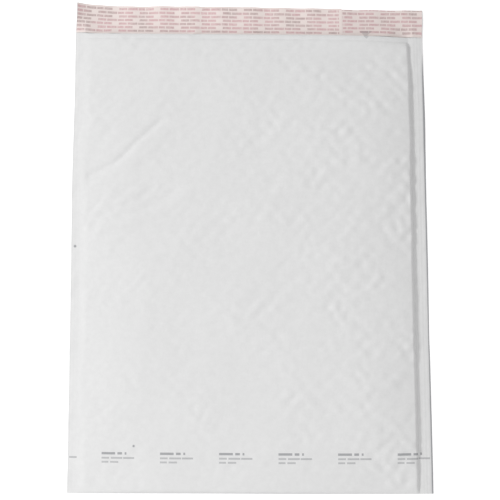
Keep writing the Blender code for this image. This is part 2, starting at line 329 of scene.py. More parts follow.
def upper_part(row_y):
    """0 in the lower half of the envelope, easing to 1 over its upper half."""
    return smooth((row_y + 40 * MM) / (150 * MM))


def settled(s, row_y):
    """How far the flap has come down from the mouth's height: 0 at the mouth, 1 further out."""
    return smooth((row_y - s.mouth) / (0.8 * s.flap_depth))


def fullness(s, x, row_y):
    """How far the back has come down to the table, from 0 in the seams and the fold to 1: a
    sine over the seam's slope times a quarter ellipse over the fold's. The left slope gets
    wider towards the mouth."""
    slope = s.seam_slope + 24 * MM * near(s.mouth - row_y, 60 * MM) * (x < 0)
    across = np.sin(np.clip((s.seam - np.abs(x)) / slope, 0, 1) * np.pi / 2)
    return across * arch((row_y - s.fold) / s.fold_slope)


def crown(s, x, row_y, y):
    """How far the front has risen to its full height, from 0 in the seams and the fold to 1.
    From the left it takes a slight band and then eases up as a power of the distance, from the
    right it takes a steep step, part sine and part ellipse, first. The step turns in and fades
    out where the lip is pressed flat."""
    to_mouth = s.mouth - row_y
    band_share = 0.1 + 0.13 * upper_part(row_y)
    band_width, band_outside = 9 * MM, 3.5 * MM
    near_fold = near(row_y - s.fold, 110 * MM)
    left_reach = s.crown_reach * (0.93 + 0.4 * near_fold - 0.27 * upper_part(row_y))
    from_left = s.seam + x
    left = (1 - band_share) * eased(from_left / left_reach, 1.9)
    left += band_share * np.clip((from_left + band_outside) / band_width, 0, 1)

    right_reach = 1.5 * s.crown_reach
    uneven = 0.12 * MM * ripples(y, 0 * y, 30, 90, 10, 3)
    turned_in = 1.1 * MM * near(to_mouth, 28 * MM)
    from_right = s.seam - s.seam_extra + uneven - turned_in - x
    steep = np.clip(from_right / s.step_width, 0, 1)
    steep = 0.7 * np.sin(steep * np.pi / 2) + 0.3 * arch(steep)
    flat_lip, fade = 2 * MM, 9 * MM
    step_share = 0.38 * smooth((to_mouth - flat_lip) / fade)
    right = step_share * steep + (1 - step_share) * eased(from_right / right_reach, 3.2)
    return left * right * arch((row_y - s.fold) / s.fold_slope)


def sag(s, x, row_y):
    """How far the front hangs lower on its right side near the mouth and the fold, though not
    at the lip itself."""
    to_mouth = s.mouth - row_y
    below_lip = near(to_mouth, 90 * MM) * smooth(to_mouth / (22 * MM))
    near_fold = near(row_y - s.fold, 60 * MM)
    right_side = smooth((x - 10 * MM) / (150 * MM))
    return (4.4 * MM * below_lip + 5 * MM * near_fold) * right_side


def curl(s, x, row_y, y):
    """How far the flap's left corner has curled up, from 0 to 1 at the corner: the square of
    what is left of the curl's reach, along a line that slants down by 20 degrees."""
    turn = math.radians(20)
    from_corner = (x + s.width / 2) * math.cos(turn) + (s.length / 2 - y) * math.sin(turn)
    return np.clip(1 - from_corner / s.curl_reach, 0, 1) ** 2 * settled(s, row_y)


def trued(s, x, row_y, y):
    """Moves the plan's edges to where they really run, by the cube of the distance from the
    middle: the left one comes in towards the flap and its curl, the right one has its bulges,
    and the fold's right end hangs lower. Returns X and Y."""
    left = 1.5 * MM * smooth((y - 40 * MM) / (120 * MM)) + 1.1 * MM * curl(s, x, row_y, y)
    right = 0.6 * MM
    for place, half_width, out in BULGES:
        right += out * MM * bell(y - place * MM, half_width * MM)
    right += 0.4 * MM * smooth((y - 214 * MM) / (12 * MM))
    weight = (2 * np.abs(x) / s.width) ** 3
    lower = 0.2 * MM + 0.5 * MM * smooth((x + 70 * MM) / (140 * MM))
    lower = lower * near(row_y - s.fold, 60 * MM)
    return x + np.where(x < 0, left, right) * weight, y - lower


def seam_heights(s, x, row_y, y):
    """Middle height of the sealed edges, sloping on across the envelope from one to the other.
    The left one rises towards the mouth, both hang and wave at their outer edges, the right
    one's trimmed edge is bent down, and the seal leaves cosine lines along them."""
    left_height = s.seam_left + s.seam_lift * upper_part(row_y)
    outward = np.clip((np.abs(x) - s.seam) / s.seam_width, 0, 1)
    droop = s.seam_droop * outward
    height = s.seam_right + (left_height - s.seam_right) * (0.5 - x / s.width) - droop
    trim = 1.5 * MM
    bent = np.clip((x - s.width / 2 + trim) / trim, 0, 1)
    bent = bent * smooth((s.mouth - 14 * MM - row_y) / (20 * MM))
    height = height - s.edge_bend * bent
    height += 0.18 * MM * outward * ripples(x, y, 10, 60, 12, 9)
    line_pitch, fade = 3.2 * MM, 0.15
    lines = np.cos(2 * np.pi * (np.abs(x) - s.seam) / line_pitch)
    lines = lines * smooth(outward / fade) * smooth((1 - outward) / fade)
    return height + s.striation * lines


def body(s, x, row_y, y):
    """Heights of the back's underside and of the front's top. The back rises to the seams and
    towards the mouth, the front from the seams to the thickness of both papers, both films and
    the pocket, and less at the lip, where the film is pressed flat."""
    full, risen = fullness(s, x, row_y), crown(s, x, row_y, y)
    seam_line = seam_heights(s, x, row_y, y)
    to_mouth = s.mouth - row_y
    back = np.maximum((seam_line - s.seam_thickness / 2) * (1 - full), 0)
    off_right = smooth((s.seam - 8 * MM - x) / (26 * MM))
    back += s.mouth_lift * near(to_mouth, 50 * MM) * full * off_right
    whole = 2 * (s.paper + s.clearance + s.film) + s.pocket
    seam_top = seam_line + s.seam_thickness / 2
    pressed = (s.film - s.lip_film) * (1 - arch(to_mouth / s.lip_rounding))
    front = seam_top + (whole - seam_top - pressed - sag(s, x, row_y)) * risen
    return back, front


def front_relief(s, x, row_y, y):
    """What the padding and handling press into the front: the bubbles' quilting, stronger on the
    right, streaks, crinkles, slow waves, creases, the weld under the lip and the lip's buckles.
    It all fades out over the seams' edges and the fold."""
    wander = 1.6 * MM
    bent_x = x + wander * ripples(x, y, 25, 60, 12, 21)
    bent_y = y + wander * ripples(x, y, 25, 60, 12, 22)
    uneven = np.clip(0.62 + 0.38 * ripples(x, y, 30, 110, 16, 23), 0.1, 1.6)
    shares = [np.clip(1 + 0.65 * ripples(x, y, 17, 48, 14, seed), 0.05, 1.95) for seed in (25, 26)]
    to_right = smooth((x + 0.2 * y + 30 * MM) / (160 * MM))
    below_lip = smooth((s.mouth + 20 * MM - row_y) / (110 * MM))
    stronger = 0.38 + 0.87 * to_right * below_lip
    height = s.quilt_show * quilting(bent_x, bent_y, s.quilt_pitch, *shares) * uneven * stronger

    along, across = (x + y) * math.sqrt(0.5), (y - x) * math.sqrt(0.5)
    streaks = crinkled(0.24 * along + 0.1 * across, across, 9, 26, 27)
    height += s.streaks * streaks * (0.4 + 0.6 * uneven)
    height += s.crinkle * crinkled(x, y, 9, 34, 24) * uneven * stronger
    wide, tall = 0.118, 0.146
    slow = np.sin(2 * np.pi * (x / wide + 0.3 * y / tall))
    slow = slow * np.sin(2 * np.pi * (y / tall - 0.4 * x / wide) + 1.0)
    height += s.wave * slow
    for points, depth, half_width in CREASES:
        path = [(px * MM, py * MM) for px, py in points]
        height = height - depth * MM * bell(off_path(x, y, path), half_width * MM)

    weld_below, weld_half, weld_depth = 5.2 * MM, 1.1 * MM, 0.7 * MM
    weld_line = bell(s.mouth - row_y - weld_below, weld_half)
    height = height * smooth((s.mouth - row_y) / s.lip_rounding) - weld_depth * weld_line
    for px, py, high in BUCKLES:
        aside, above = (x - px * MM) / (4 * MM), (y - py * MM) / (1.7 * MM)
        height += high * MM * np.exp(-aside ** 2 - above ** 2)
    off_seams = smooth((s.seam - 2 * MM - np.abs(x)) / (6 * MM))
    return height * (off_seams * smooth((row_y - s.fold) / (2 * s.fold_slope)))


def flap(s, x, row_y, y, back):
    """Height of the flap's underside beyond the mouth: it settles from the back's height to
    nearly flat, stays up at its ends, curls up at the left corner and waves a little."""
    down = settled(s, row_y)
    lifted = s.end_lift * (np.abs(x) / (s.width / 2)) ** 8
    height = back * (1 - down) + lifted * down
    height += s.curl_height * curl(s, x, row_y, y)
    wave = 0.5 + 0.5 * np.sin(2 * np.pi * x / (83 * MM) + 0.8) * np.cos(2 * np.pi * x / (51 * MM))
    return height + s.flap_wave * wave * down


def inward(points):
    """Unit normals of the cover's grid that point into the envelope: the cross product of the
    grid's two directions, turned so that the front's point down."""
    cross = np.cross(np.gradient(points, axis=0), np.gradient(points, axis=1))
    direction = cross / np.maximum(np.linalg.norm(cross, axis=2, keepdims=True), 1e-12)
    return direction if direction[0, 0, 2] < 0 else -direction


def stack(x, y, z):
    """Three arrays as points."""
    return np.stack(np.broadcast_arrays(x, y, z), axis=2)


def grid_faces(first, n, m):
    """Quads over an n by m grid of points whose numbers start at first."""
    number = first + np.arange(n * m).reshape(n, m)
    corners = [number[:-1, :-1], number[1:, :-1], number[1:, 1:], number[:-1, 1:]]
    return np.stack(corners, axis=2).reshape(-1, 4)


def rim_faces(n, m):
    """Quads that join the edges of one n by m grid to those of the next."""
    number = np.arange(n * m).reshape(n, m)
    loop = np.concatenate([number[0, :-1], number[:-1, -1], number[-1, :0:-1], number[:0:-1, 0]])
    onward = np.roll(loop, -1)
    return np.stack([loop, onward, onward + n * m, loop + n * m], axis=1)


def signed_volume(points, faces):
    """Six times the volume inside a mesh of quads, positive where its faces point outwards."""
    a, b, c, d = (points[faces[:, k]] for k in range(4))
    first = np.einsum("ij,ij->i", a, np.cross(b, c))
    second = np.einsum("ij,ij->i", a, np.cross(c, d))
    return (first + second).sum()


def closed_sheet(outer, inner):
    """Points and quads of a sheet between two grids of the same size, closed round its rim.
    All faces point outwards."""
    n, m = outer.shape[:2]
    points = np.concatenate([outer.reshape(-1, 3), inner.reshape(-1, 3)])
    sides = np.concatenate([grid_faces(0, n, m), grid_faces(n * m, n, m)[:, ::-1]])
    rim = rim_faces(n, m)
    if signed_volume(points, sides) < 0:
        sides = sides[:, ::-1]
    else:
        rim = rim[:, ::-1]
    return points, np.concatenate([sides, rim]).tolist()


def placed(name, data):
    """A new object in the scene."""
    thing = bpy.data.objects.new(name, data)
    bpy.context.scene.collection.objects.link(thing)
    return thing


def make_piece(name, points, faces, uv, material):
    """Puts points and faces into a named mesh with its UV map, and lets it ride on the part."""
    mesh = bpy.data.meshes.new(name)
    mesh.from_pydata(points.tolist(), [], faces)
    layer = mesh.uv_layers.new(name=UV_NAME)
    loops = np.empty(len(mesh.loops), dtype=np.int32)
    mesh.loops.foreach_get("vertex_index", loops)
    layer.data.foreach_set("uv", uv[loops].astype(np.float32).ravel())
    mesh.validate()
    mesh.shade_smooth()
    mesh.set_sharp_from_angle(angle=SHARP_ANGLE)
    mesh.materials.append(material)
    piece = placed(name, mesh)
    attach(piece, "root")
    return piece


def sheet_between(name, outer, inner, material):
    """A closed sheet between two grids of the same size. In its UV map the outer face fills the
    left half and the inner face the right half."""
    n, m = outer.shape[:2]
    points, faces = closed_sheet(outer, inner)
    along, across = np.linspace(UV_LOW, UV_MIDDLE, n), np.linspace(UV_LOW, UV_HIGH, m)
    u, v = np.meshgrid(along, across, indexing="ij")
    uv = np.concatenate([np.stack([u + half, v], 2).reshape(-1, 2) for half in (0, 0.5)])
    return make_piece(name, points, faces, uv, material)


def add(tree, kind, inputs=None, out=0, **settings):
    """Adds one node: settings are its own properties, inputs are values or sockets by name.
    Returns its output called out, or all of them if that is None."""
    node = tree.nodes.new("ShaderNode" + kind)
    for key, value in settings.items():
        setattr(node, key, value)
    for key, value in (inputs or {}).items():
        if isinstance(value, bpy.types.NodeSocket):
            tree.links.new(value, node.inputs[key])
        else:
            node.inputs[key].default_value = value
    return node.outputs if out is None else node.outputs[out]


def new_material(name, **shader):
    """A material with a Principled shader whose plain values are given by input name."""
    material = bpy.data.materials.new(name)
    material.use_nodes = True
    tree = material.node_tree
    principled = tree.nodes["Principled BSDF"]
    for key, value in shader.items():
        principled.inputs[key.replace("_", " ")].default_value = value
    return material, tree, principled


def in_millimetres(tree):
    """The place on the piece in millimetres."""
    place = add(tree, "TexCoord", out="Object")
    return add(tree, "VectorMath", {0: place, 1: (1000, 1000, 1000)}, operation="MULTIPLY")


def clouded(tree, colour, pattern, low, high):
    """A colour made darker and lighter by a noise, between two factors."""
    tone = add(tree, "MapRange", {0: pattern, **NOISE, 3: low, 4: high})
    return add(tree, "VectorMath", {0: (*colour,), 3: tone}, operation="SCALE")


def between(tree, value, low, high):
    """1 where a value lies between two limits, else 0."""
    centre, reach = (low + high) / 2, (high - low) / 2
    return add(tree, "Math", {0: value, 1: centre, 2: reach}, operation="COMPARE")


def product(tree, *values):
    """All the values multiplied."""
    result = values[0]
    for value in values[1:]:
        result = add(tree, "Math", {0: result, 1: value}, operation="MULTIPLY")
    return result


def either(tree, values):
    """The largest of several masks."""
    result = values[0]
    for value in values[1:]:
        result = add(tree, "Math", {0: result, 1: value}, operation="MAXIMUM")
    return result


def triangle(tree, x, y, tip, tall, darkness):
    """The darkness in a triangle that stands on its tip, twice as wide as tall, else 0."""
    aside = add(tree, "Math", {0: x, 1: tip[0]}, operation="SUBTRACT")
    aside = add(tree, "Math", {0: aside}, operation="ABSOLUTE")
    above = add(tree, "Math", {0: y, 1: tip[1]}, operation="SUBTRACT")
    inside = add(tree, "Math", {0: above, 1: aside}, operation="GREATER_THAN")
    return product(tree, inside, between(tree, above, 0, tall), darkness)


def speck(tree, place, x, y, radius):
    """1 in a round speck, fading to 0 from 0.3 of its radius to its edge."""
    off = add(tree, "VectorMath", {0: place, 1: (x, y, 0)}, operation="SUBTRACT")
    flat = add(tree, "VectorMath", {0: off, 1: (1, 1, 0)}, operation="MULTIPLY")
    far = add(tree, "VectorMath", {0: flat}, out="Value", operation="LENGTH")
    return add(tree, "MapRange", {0: far, 1: radius, 2: radius * 0.3})


def print_mask(tree, x, y):
    """How much ink covers the paper near the fold: the same three lines of plain bars, repeated
    across the envelope as far as its left edge, where the sheet turns down."""
    start = 10 * PRINT_PERIOD - PRINT_START
    shifted = add(tree, "Math", {0: x, 1: start}, operation="ADD")
    along = add(tree, "Math", {0: shifted, 1: PRINT_PERIOD}, operation="MODULO")
    sloped = add(tree, "Math", {0: x, 1: PRINT_SLOPE, 2: -PRINT_TOP}, operation="MULTIPLY_ADD")
    down = add(tree, "Math", {0: y, 1: sloped}, operation="ADD")
    masks = []
    for below, tall, words, darkness in PRINT_LINES:
        row = between(tree, down, -below - tall / 2, -below + tall / 2)
        bars = either(tree, [between(tree, along, first, last) for first, last in words])
        masks.append(product(tree, row, bars, darkness))
    return product(tree, either(tree, masks), between(tree, x, *PRINT_LIMITS))


def paper_material(colours):
    """Bleached kraft paper, machine-made and uncoated: matt white with a faint cloudy formation
    5 mm wide and a felt-like grain. The grain is drawn 1.1 mm wide, coarser than real fibres,
    so that it shows. Only faces that look up carry print, specks and a painted shade along the
    right edge below the lip, standing in for the shadow on the bent-down edge."""
    material, tree, shader = new_material("bleached_kraft_paper", Roughness=0.82, IOR=1.5)
    place = in_millimetres(tree)
    x, y = add(tree, "SeparateXYZ", {0: place}, out=None)[:2]
    cloud = add(tree, "TexNoise", {"Vector": place, "Scale": 1 / 5, "Detail": 3.0})
    bare = clouded(tree, colours.paper, cloud, 0.975, 1.012)
    specks = either(tree, [speck(tree, place, *spot) for spot in SPECKS])
    at_edge = add(tree, "MapRange", {0: x, 1: 178.6, 2: 179.6})
    below_lip = add(tree, "MapRange", {0: y, 1: 198.0, 2: 168.0})
    mark = triangle(tree, x, y, *PAPER_TRIANGLE)
    # Painted shade: a grey band along the right edge below the lip, standing in for the shadow on the
    # bent-down edge
    painted_edge_shade = product(tree, at_edge, below_lip, 0.66)
    ink = either(tree, [print_mask(tree, x, y), product(tree, specks, 0.75), painted_edge_shade, mark])
    facing = add(tree, "NewGeometry", out="Normal")
    up = add(tree, "SeparateXYZ", {0: facing}, out=2)
    on_top = add(tree, "Math", {0: up, 1: 0.0}, operation="GREATER_THAN")
    inked = {0: product(tree, ink, on_top), 6: bare, 7: (*colours.ink, 1)}
    mixed = add(tree, "Mix", inked, out=2, data_type="RGBA")
    tree.links.new(mixed, shader.inputs["Base Color"])

    crinkle = add(tree, "TexNoise", {"Vector": place, "Scale": 1 / 7, "Detail": 2.0, "Roughness": 0.6})
    grain = add(tree, "TexNoise", {"Vector": place, "Scale": 1 / 1.1, "Detail": 2.0})
    coarse = add(tree, "Bump", {"Height": crinkle, "Distance": 0.16 * MM, "Strength": 0.6})
    fine = add(tree, "Bump", {"Height": grain, "Distance": 0.03 * MM, "Strength": 0.5, "Normal": coarse})
    tree.links.new(fine, shader.inputs["Normal"])
    return material


def film_material(colours):
    """Low-density polyethylene film, blown and heat-formed: clear, a little milky in patches,
    and glossy."""
    material, tree, shader = new_material("blown_polyethylene_film", Roughness=0.22, IOR=1.51, Alpha=0.55)
    place = add(tree, "TexCoord", out="Object")
    haze = add(tree, "TexNoise", {"Vector": place, "Scale": 1 / 0.018, "Detail": 2.0})
    tree.links.new(clouded(tree, colours.film, haze, 0.93, 1.0), shader.inputs["Base Color"])
    rough = add(tree, "MapRange", {0: haze, **NOISE, 3: 0.16, 4: 0.32})
    tree.links.new(rough, shader.inputs["Roughness"])
    return material


def adhesive_material(colours):
    """Pressure-sensitive hot melt, laid on in a thin coat: pale amber, glossy, with the fine
    lines of the coating head along the strip."""
    material, tree, shader = new_material("hot_melt_adhesive", Roughness=0.24, IOR=1.48)
    place = add(tree, "TexCoord", out="Object")
    drawn = add(tree, "Mapping", {"Vector": place, "Scale": (12, 900, 12)})
    lines = add(tree, "TexNoise", {"Vector": drawn, "Scale": 1.0, "Detail": 2.0})
    tree.links.new(clouded(tree, colours.adhesive, lines, 0.94, 1.03), shader.inputs["Base Color"])
    bump = add(tree, "Bump", {"Height": lines, "Distance": 0.03 * MM})
    tree.links.new(bump, shader.inputs["Normal"])
    return material


def liner_dashes(tree, along, across, beyond):
    """Mask of the liner's dashes: rows counted down from the cut edge, and in each row the same
    run of dashes over and over, alternate rows shifted by half its period. Beyond the splice
    the rows lie further apart and the runs start 12 mm sooner."""
    (pitch, first), (pitch_beyond, first_beyond) = LINER_ROWS
    starts = {3: 0.5 - first / pitch, 4: 0.5 - first_beyond / pitch_beyond}
    start = add(tree, "MapRange", {0: beyond, **starts})
    per_mm = add(tree, "MapRange", {0: beyond, 3: 1 / pitch, 4: 1 / pitch_beyond})
    rows = add(tree, "Math", {0: across, 1: per_mm, 2: start}, operation="MULTIPLY_ADD")
    row = add(tree, "Math", {0: rows}, operation="FLOOR")
    within = add(tree, "Math", {0: rows}, operation="FRACT")
    odd = add(tree, "Math", {0: row, 1: 2.0}, operation="MODULO")
    sooner = add(tree, "Math", {0: beyond, 1: 12.0, 2: along}, operation="MULTIPLY_ADD")
    shifted = add(tree, "Math", {0: odd, 1: LINER_PERIOD / 2, 2: sooner}, operation="MULTIPLY_ADD")
    from_start = add(tree, "Math", {0: shifted, 1: LINER_PERIOD}, operation="MODULO")
    dashes = either(tree, [between(tree, from_start, left, right) for left, right in LINER_DASHES])
    printed = between(tree, across, *LINER_PRINTED)
    return product(tree, dashes, between(tree, within, 0.2, 0.8), printed)


def liner_material(s, colours):
    """Silicone-coated liner paper: smooth, with a soft sheen, printed in patchy pink, greyer in
    places, with rows of dashes. A bare splice crosses it, and beyond that it is duller."""
    material, tree, shader = new_material("silicone_coated_liner_paper", Roughness=0.42, IOR=1.5,
                                          Coat_Weight=0.25, Coat_Roughness=0.3)
    place = in_millimetres(tree)
    spot = add(tree, "UVMap", uv_map=UV_NAME)
    half_u, v = add(tree, "SeparateXYZ", {0: spot}, out=None)[:2]
    u = add(tree, "Math", {0: half_u, 1: 0.5}, operation="MODULO")
    along = add(tree, "MapRange", {0: u, 1: UV_LOW, 2: UV_MIDDLE, 3: 0.0, 4: s.width / MM}, clamp=False)
    depthways = {0: v, 1: UV_LOW, 2: UV_HIGH, 3: s.liner_depth / MM, 4: LINER_FROM_CUT}
    across = add(tree, "MapRange", depthways, clamp=False)
    beyond = add(tree, "Math", {0: along, 1: SPLICE}, operation="GREATER_THAN")

    bare = between(tree, along, SPLICE - 2.6, SPLICE + 1.2)
    clear = add(tree, "Math", {0: 1.0, 1: bare}, operation="SUBTRACT")
    patchy = add(tree, "TexNoise", {"Vector": place, "Scale": 1 / 2.2, "Detail": 2.0})
    strength = add(tree, "MapRange", {0: patchy, **NOISE, 3: 0.55, 4: 1.0})
    inked = product(tree, liner_dashes(tree, along, across, beyond), clear, strength)
    greying = add(tree, "TexNoise", {"Vector": place, "Scale": 1 / 26, "Detail": 1.0})
    grey = add(tree, "MapRange", {0: greying, 1: 0.42, 2: 0.62})
    inks = {0: grey, 6: (*colours.liner_pink, 1), 7: (*colours.liner_grey, 1)}
    ink = add(tree, "Mix", inks, out=2, data_type="RGBA")
    printed = add(tree, "Mix", {0: inked, 6: (*colours.liner, 1), 7: ink}, out=2, data_type="RGBA")
    x, y = add(tree, "SeparateXYZ", {0: place}, out=None)[:2]
    mark = triangle(tree, x, y, *LINER_TRIANGLE)
    marked = add(tree, "Mix", {0: mark, 6: printed, 7: (*colours.ink, 1)}, out=2, data_type="RGBA")
    # A little lighter at the liner's left end, fading darker towards the right
    lighter_at_left = add(tree, "MapRange", {0: along, 1: 60.0, 2: 260.0, 3: 1.03, 4: 0.99})
    duller = add(tree, "Math", {0: beyond, 1: -0.06, 2: lighter_at_left}, operation="MULTIPLY_ADD")
    toned = add(tree, "VectorMath", {0: marked, 3: duller}, operation="SCALE")
    tree.links.new(toned, shader.inputs["Base Color"])

    fine = add(tree, "TexNoise", {"Vector": place, "Scale": 1 / 4, "Detail": 2.0})
    bump = add(tree, "Bump", {"Height": fine, "Distance": 0.12 * MM, "Strength": 0.6})
    tree.links.new(bump, shader.inputs["Normal"])
    return material


def cover_grid(s):
    """The outer face of the folded paper, as one grid: down the front from the mouth, round the
    fold by degrees of its ellipse, along the back's underside and out along the flap's."""
    x = columns(s, 2.4 * MM)[:, None]
    lip = s.mouth - np.array([0, 0.25, 0.8, 1.6, 2.8, 4.0, 4.8, 5.4, 6.1]) * MM
    front = spread(s.mouth - s.lip_rounding, s.fold + s.fold_slope, 2.3 * MM)
    over, under = ([78, 66, 54, 43, 33, 24, 16, 9, 4, 0], [0, 9, 24, 43, 66])
    over, under = (s.fold + s.fold_slope * (1 - np.cos(np.radians(turn))) for turn in (over, under))
    front_y = np.concatenate([lip, front, over])[None, :]
    back_y = np.concatenate([under, spread(s.fold + s.fold_slope, s.mouth, 13 * MM)])[None, :]
    flap_y = spread(s.mouth, s.cut, 2.2 * MM)[None, 1:]

    y = place_rows(s, x, front_y)
    top = body(s, x, front_y, y)[1] + front_relief(s, x, front_y, y)
    front = stack(*trued(s, x, front_y, y), top)
    y = place_rows(s, x, back_y)
    back = stack(*trued(s, x, back_y, y), body(s, x, back_y, y)[0])
    y = place_rows(s, x, flap_y)
    out = stack(*trued(s, x, flap_y, y), flap(s, x, flap_y, y, back[:, -1:, 2]))
    return np.concatenate([front, back, out], axis=1)


def strip_grid(s, left, right, first_row, last_row, step):
    """The flap's underside over a band of it, as a grid for what lies on the flap: X and row in
    the plan, then X, Y and height."""
    x = spread(left, right, step)[:, None]
    row_y = spread(first_row, last_row, step)[None, :]
    y = place_rows(s, x, row_y)
    mouth_row = np.full((1, 1), s.mouth)
    at_mouth = body(s, x, mouth_row, place_rows(s, x, mouth_row))[0]
    return x, row_y, *trued(s, x, row_y, y), flap(s, x, row_y, y, at_mouth)


def dome(sides):
    """A bubble of unit radius and height: three rings and a top, closed below. Returns its
    points and faces."""
    rings = [(1.0, 0.0), (0.93, 0.6), (0.6, 0.93)]
    turn = 2 * np.pi * np.arange(sides) / sides
    points = [np.stack([r * np.cos(turn), r * np.sin(turn), np.full(sides, z)], 1) for r, z in rings]
    points.append(np.array([[0, 0, 1.0]]))
    faces = []
    for low in range(0, (len(rings) - 1) * sides, sides):
        for k in range(sides):
            onward = (k + 1) % sides
            faces.append([low + k, low + onward, low + sides + onward, low + sides + k])
    last, top = (len(rings) - 1) * sides, len(rings) * sides
    faces += [[last + k, last + (k + 1) % sides, top] for k in range(sides)]
    faces.append(list(range(sides))[::-1])
    return np.concatenate(points), faces


def film_layers(s, x, row_y, y):
    """Heights of the pocket's floor and roof, and the share of its full height that the padding
    has at each place."""
    back, front = body(s, x, row_y, y)
    inside = front - back - 2 * (s.paper + s.clearance)
    share = np.clip(inside / (2 * s.film + s.pocket), 0, 1)
    floor = back + s.paper + s.clearance + s.film * share
    return floor, floor + s.pocket * share, share


def least_share(s, x, row_y, y, reach):
    """The padding's smallest share within a reach of each place, so that nothing straight
    pierces the curved front."""
    share = film_layers(s, x, row_y, y)[2]
    for dx, dy in ((-reach, 0), (reach, 0), (0, -reach), (0, reach)):
        share = np.minimum(share, film_layers(s, x + dx, row_y + dy, y + dy)[2])
    return share


def film_limits(s):
    """How far the film reaches: X of its right edge, then its lowest and highest row."""
    return s.seam - s.weld / 2, s.fold + 1.2 * MM, s.mouth - 1 * MM


def film_web(s):
    """The film's flat web as two grids, the face towards the bubbles and the one towards the
    pocket, both down the front from the mouth, round the fold and up the back."""
    edge, lowest, highest = film_limits(s)
    margin, step = 2 * MM, 9 * MM
    x = np.concatenate([[-edge], spread(-edge + margin, edge - margin, step), [edge]])[:, None]
    down = spread(highest, s.fold + s.fold_slope, step)
    rows = np.concatenate([down, s.fold + np.array([4, 2]) * MM, [lowest]])
    y = place_rows(s, x, rows[None, :])
    floor, roof, share = film_layers(s, x, rows[None, :], y)
    least = least_share(s, x, rows[None, :], y, 7 * MM)
    floor = floor - s.film * (share - least)
    roof = floor + s.pocket * least
    inner = np.concatenate([stack(x, y, roof), stack(x, y, floor)[:, ::-1]], axis=1)
    above, below = stack(x, y, roof + FILM_WEB), stack(x, y, floor - FILM_WEB)
    outer = np.concatenate([above, below[:, ::-1]], axis=1)
    outer[:, len(rows) - 1:len(rows) + 1, 1] -= FILM_WEB
    return outer, inner


def bubble_places(s):
    """Middles of the bubbles that fit into the film, in staggered lines: X, Y and row."""
    edge, lowest, highest = film_limits(s)
    pitch, radius = s.bubble_pitch, s.bubble_width / 2
    apart = pitch * math.sqrt(3) / 2
    lines = np.arange(-math.floor(edge / apart), math.floor(edge / apart) + 1)
    places = np.arange(math.floor(lowest / pitch) - 1, math.ceil(highest / pitch) + 2)
    x, y = np.meshgrid(lines * apart, places * pitch, indexing="ij")
    y = y + (lines % 2)[:, None] * pitch / 2
    row_y = y + s.mouth_slant * (y - s.fold) / (s.mouth - s.fold) * x / s.width
    fits = (np.abs(x) < edge - radius) & (row_y < highest + radius * 0.6) & (row_y > lowest + radius)
    return x[fits], y[fits], row_y[fits]


def bubbles(s, first):
    """Domes on the web, above and below the pocket, wherever there is room: points, and faces
    for numbers from first. The front's hollows push those above in, and none passes the mouth."""
    x, y, row_y = bubble_places(s)
    radius = s.bubble_width / 2
    floor, roof = film_layers(s, x, row_y, y)[:2]
    share = least_share(s, x, row_y, y, radius)
    pushed = np.minimum(front_relief(s, x, row_y, y), 0)
    tall = (s.film - 0.75 * MM) * share
    roomy = share > 0.3
    form, form_faces = dome(8)
    sides = [(1, roof + 0.5 * FILM_WEB, tall + pushed), (-1, floor - 0.5 * FILM_WEB, tall)]
    points = []
    for sign, level, high in sides:
        dome_x = x[roomy, None] + radius * form[None, :, 0]
        dome_y = y[roomy, None] + radius * form[None, :, 1]
        dome_y = np.minimum(dome_y, place_rows(s, dome_x, film_limits(s)[2]))
        if sign < 0:
            dome_x = 2 * x[roomy, None] - dome_x
        dome_z = level[roomy, None] + sign * high[roomy, None] * form[None, :, 2]
        points.append(stack(dome_x, dome_y, dome_z).reshape(-1, 3))
    points = np.concatenate(points)
    starts = range(first, first + len(points), len(form))
    return points, [[start + k for k in face] for start in starts for face in form_faces]


def make_table():
    """A plain white table that the camera sees as white but for the soft shadow."""
    mesh = bpy.data.meshes.new("table")
    reach, level = 6.0, -0.2 * MM
    corners = [(x * reach, y * reach, level) for x, y in ((-1, -1), (1, -1), (1, 1), (-1, 1))]
    mesh.from_pydata(corners, [], [(0, 1, 2, 3)])
    material, tree, shader = new_material("white_table", Base_Color=(0.9, 0.9, 0.9, 1), Roughness=0.9)
    strength = product(tree, seen_directly(tree), 0.5)
    glow = add(tree, "Emission", {"Color": (1, 1, 1, 1), "Strength": strength})
    both = add(tree, "AddShader", {0: shader.outputs[0], 1: glow})
    tree.links.new(both, tree.nodes["Material Output"].inputs["Surface"])
    mesh.materials.append(material)
    table = placed("table", mesh)


def seen_directly(tree):
    """1 for rays from the camera and for those that gloss and clear film pass on."""
    path = add(tree, "LightPath", out=None)
    return either(tree, [path["Is Camera Ray"], path["Is Glossy Ray"], path["Is Transmission Ray"]])


def make_light(name, place, size, power):
    """A square soft light aimed at the middle of the envelope: its place and side in metres
    and its power in watts."""
    lamp = bpy.data.lights.new(name, "AREA")
    lamp.size = size
    lamp.energy = power
    holder = placed(name, lamp)
    holder.location = place
    away = holder.location.normalized()
    holder.rotation_euler = away.to_track_quat("Z", "Y").to_euler()


def make_surroundings():
    """Even white light from all round, about half as strong as the white that is seen."""
    world = bpy.data.worlds.new("surroundings")
    world.use_nodes = True
    tree = world.node_tree
    seen = seen_directly(tree)
    strength = add(tree, "MapRange", {0: seen, 3: 0.525, 4: 1.0})
    background = tree.nodes["Background"]
    background.inputs["Color"].default_value = (1, 1, 1, 1)
    tree.links.new(strength, background.inputs["Strength"])
    bpy.context.scene.world = world


def make_camera():
    """The photograph's view: almost straight down from 0.84 m, leaning 5.6 degrees."""
    data = bpy.data.cameras.new("camera")
    data.lens = 60
    data.sensor_width = 36
    holder = placed("camera", data)
    holder.location = (0.0297, -0.0927, 0.8422)
    lean = Euler((math.radians(5.635), math.radians(1.905), math.radians(-0.385)), "ZYX")
    holder.rotation_euler = lean.to_matrix().to_euler()
    bpy.context.scene.camera = holder


def panel_values(context):
    """The sizes and the colours that the panel shows."""
    return [getattr(context.scene, name) for name in GROUPS]


